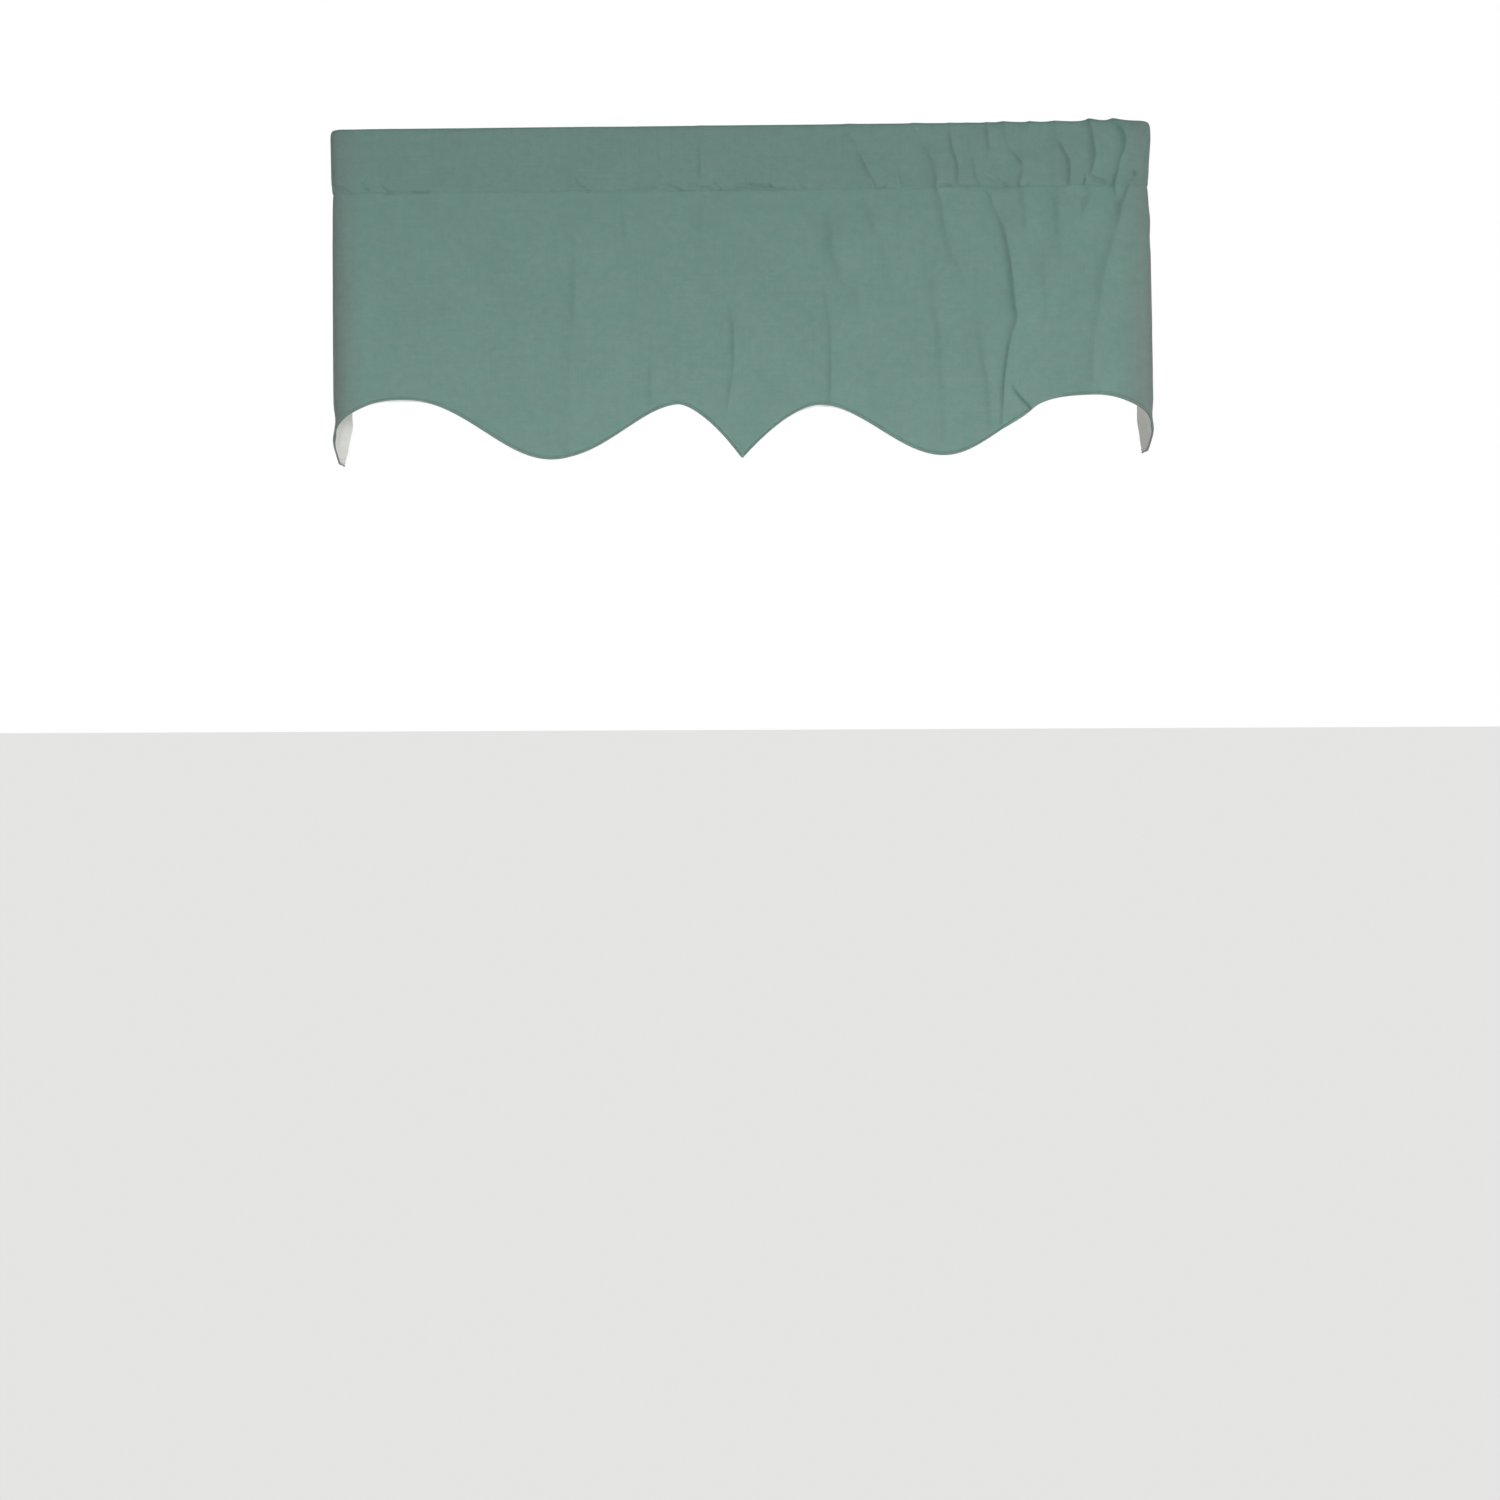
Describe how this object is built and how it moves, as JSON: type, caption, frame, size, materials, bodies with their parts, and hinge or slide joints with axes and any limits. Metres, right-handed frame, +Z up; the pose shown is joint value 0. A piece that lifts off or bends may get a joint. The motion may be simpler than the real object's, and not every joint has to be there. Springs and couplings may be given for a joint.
{
  "type": "window valance",
  "caption": "Lined cloth valance with a flat rod pocket, a scalloped hem with a centre point, soft gathers at the right, and a return to the wall at each side.",
  "frame": {"origin": "middle of the pocket's top edge, on the middle plane of the pocket's front run", "axes": "+X along the valance to the right, seen from the room, +Y towards the wall, +Z up"},
  "size_m": [1.0431, 0.0896, 0.403],
  "materials": {
    "heading_cloth": "plain woven sage green cotton duck, matte",
    "face_cloth": "plain woven sage green cotton duck, matte",
    "lining_cloth": "fine off-white lining cloth, matte"
  },
  "bodies": {
    "root": {"front_pocket": "heading_cloth", "left_pocket": "heading_cloth", "right_pocket": "heading_cloth", "face_panel": "face_cloth", "lining": "lining_cloth"}
  },
  "joints": []
}
